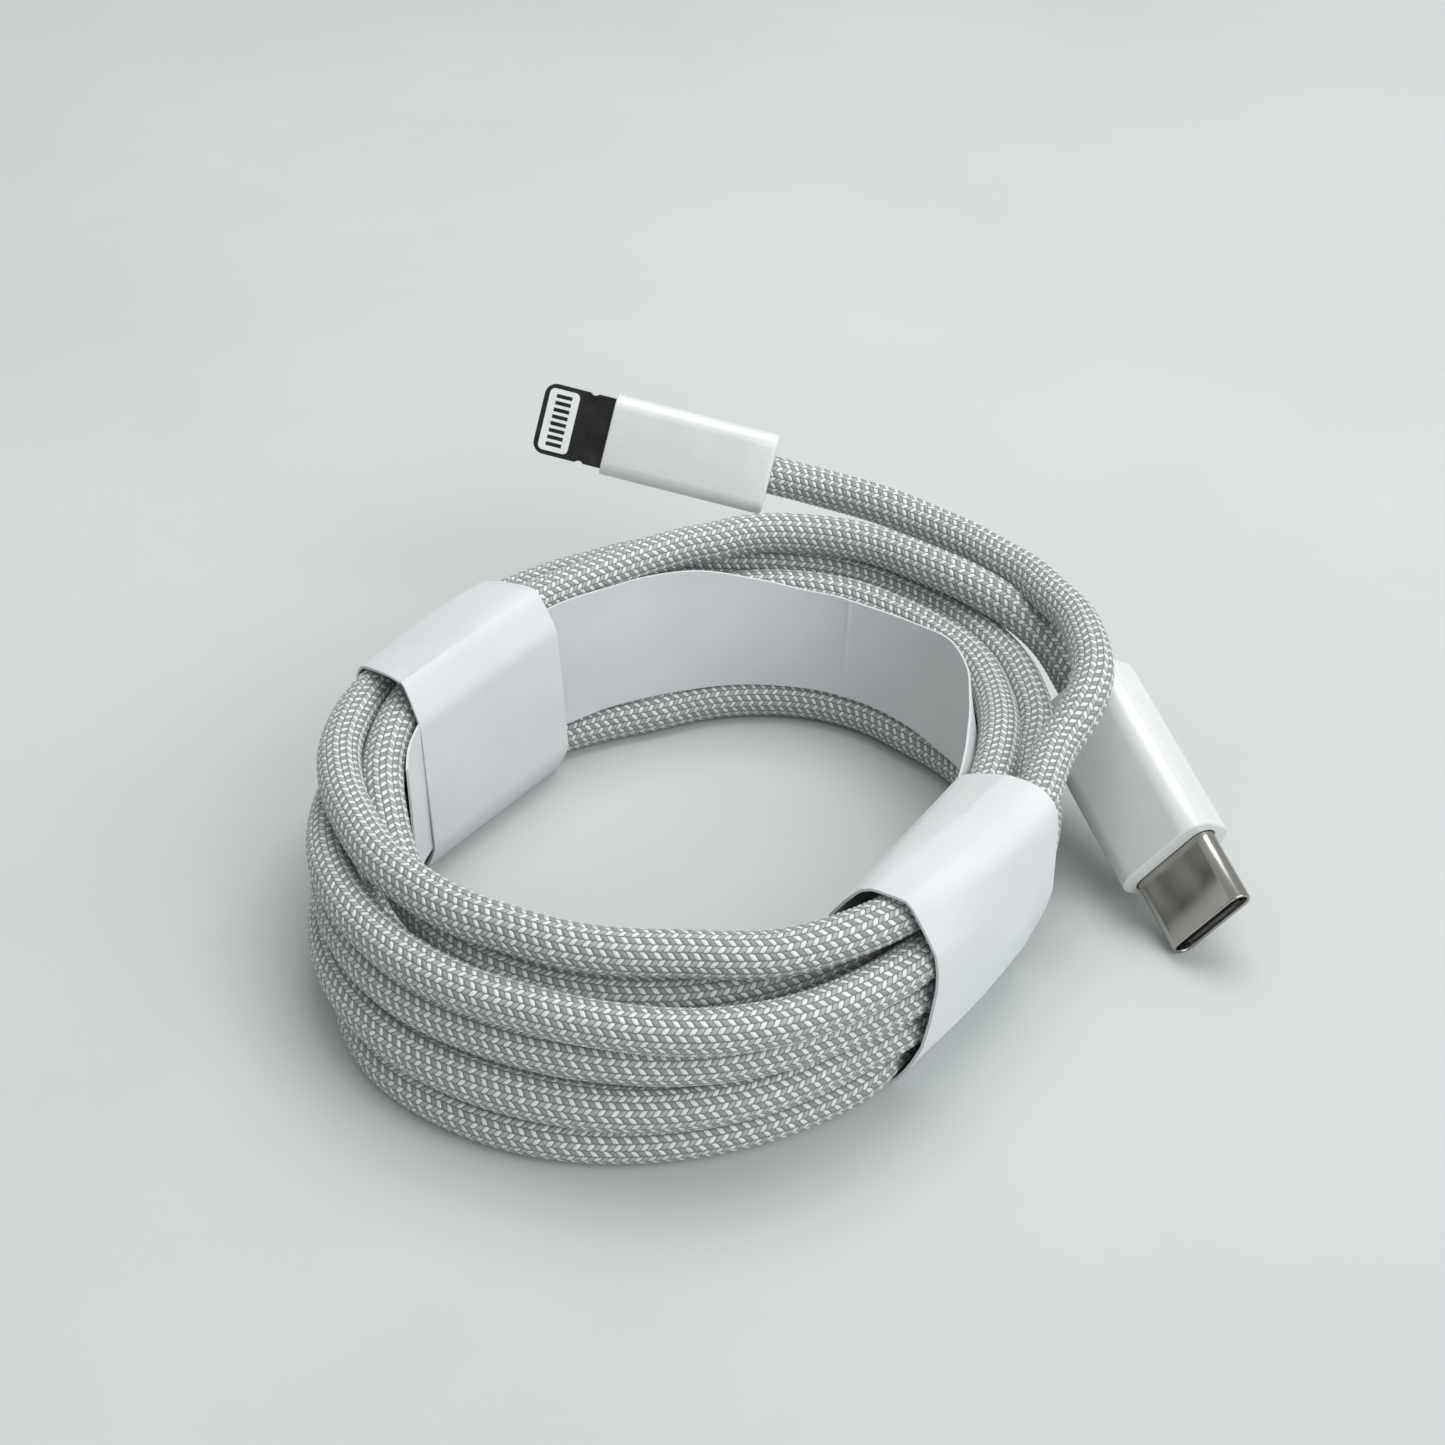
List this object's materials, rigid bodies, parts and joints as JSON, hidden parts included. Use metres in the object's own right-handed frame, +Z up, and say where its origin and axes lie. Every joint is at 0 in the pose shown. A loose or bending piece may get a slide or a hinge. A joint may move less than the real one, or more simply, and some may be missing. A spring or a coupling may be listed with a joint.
{
  "type": "charging cable",
  "caption": "Braided charging cable, coiled and held by a folded paper carrier, with a flat tab plug and a reversible oval plug.",
  "frame": {"origin": "on the plane the coil rests on, in the middle of the plan box round the two plugs and the paper carrier", "axes": "+Z up, normal to the coil; +X and +Y lie in the resting plane, with the coil's long axis 46 degrees from +X"},
  "size_m": [0.0771, 0.0778, 0.0267],
  "materials": {
    "braid": "woven white yarn with grey-green gaps, matt",
    "paper": "smooth uncoated white paper",
    "boot_white": "polished white plastic",
    "white_plastic": "matt white plastic",
    "mould_white": "translucent white moulding",
    "plug_black": "matt black plastic",
    "chip_black": "black moulded chip",
    "board_green": "green solder mask",
    "wire_red": "smooth wire insulation",
    "tab_metal": "smooth dark nickel plate",
    "plug_steel": "bright drawn steel",
    "spring_steel": "satin spring steel",
    "contact_gold": "gold plate"
  },
  "bodies": {
    "cable": {"cable_coil": "braid", "cable_tail_tab": "braid", "cable_tail_oval": "braid", "paper_carrier": "paper", "tab_plug_frame": "tab_metal", "tab_plug_insert": "white_plastic", "tab_plug_contacts": "contact_gold", "tab_plug_circuit_board": "board_green", "tab_plug_chips": "chip_black", "tab_plug_shield": "spring_steel", "tab_plug_front_collar": "boot_white", "tab_plug_inner_mould": "mould_white", "tab_plug_crimp_ring": "spring_steel", "tab_plug_wires": "wire_red", "tab_plug_boot": "boot_white", "oval_plug_shell": "plug_steel", "oval_plug_insulator": "plug_black", "oval_plug_upper_contacts": "contact_gold", "oval_plug_lower_contacts": "contact_gold", "oval_plug_upper_ground_spring": "spring_steel", "oval_plug_lower_ground_spring": "spring_steel", "oval_plug_mid_plate": "spring_steel", "oval_plug_circuit_board": "board_green", "oval_plug_marker_chip": "chip_black", "oval_plug_upper_shield_can": "spring_steel", "oval_plug_lower_shield_can": "spring_steel", "oval_plug_front_collar": "boot_white", "oval_plug_inner_mould": "mould_white", "oval_plug_crimp_ring": "spring_steel", "oval_plug_wires": "wire_red", "oval_plug_boot": "boot_white"},
    "left_latch": {"oval_plug_left_latch": "spring_steel"},
    "right_latch": {"oval_plug_right_latch": "spring_steel"}
  },
  "joints": [
    {"name": "left_latch_flex", "type": "hinge", "parent": "cable", "child": "left_latch", "pos_m": [0.02912, -0.00781, 0.00436], "axis": [0.7005, 0.4794, -0.5287], "range_deg": [0, 1.6], "stiffness_Nm_per_rad": 0.05},
    {"name": "right_latch_flex", "type": "hinge", "parent": "cable", "child": "right_latch", "pos_m": [0.03293, -0.00806, 0.00918], "axis": [-0.7005, -0.4794, 0.5287], "range_deg": [0, 1.6], "stiffness_Nm_per_rad": 0.05}
  ]
}
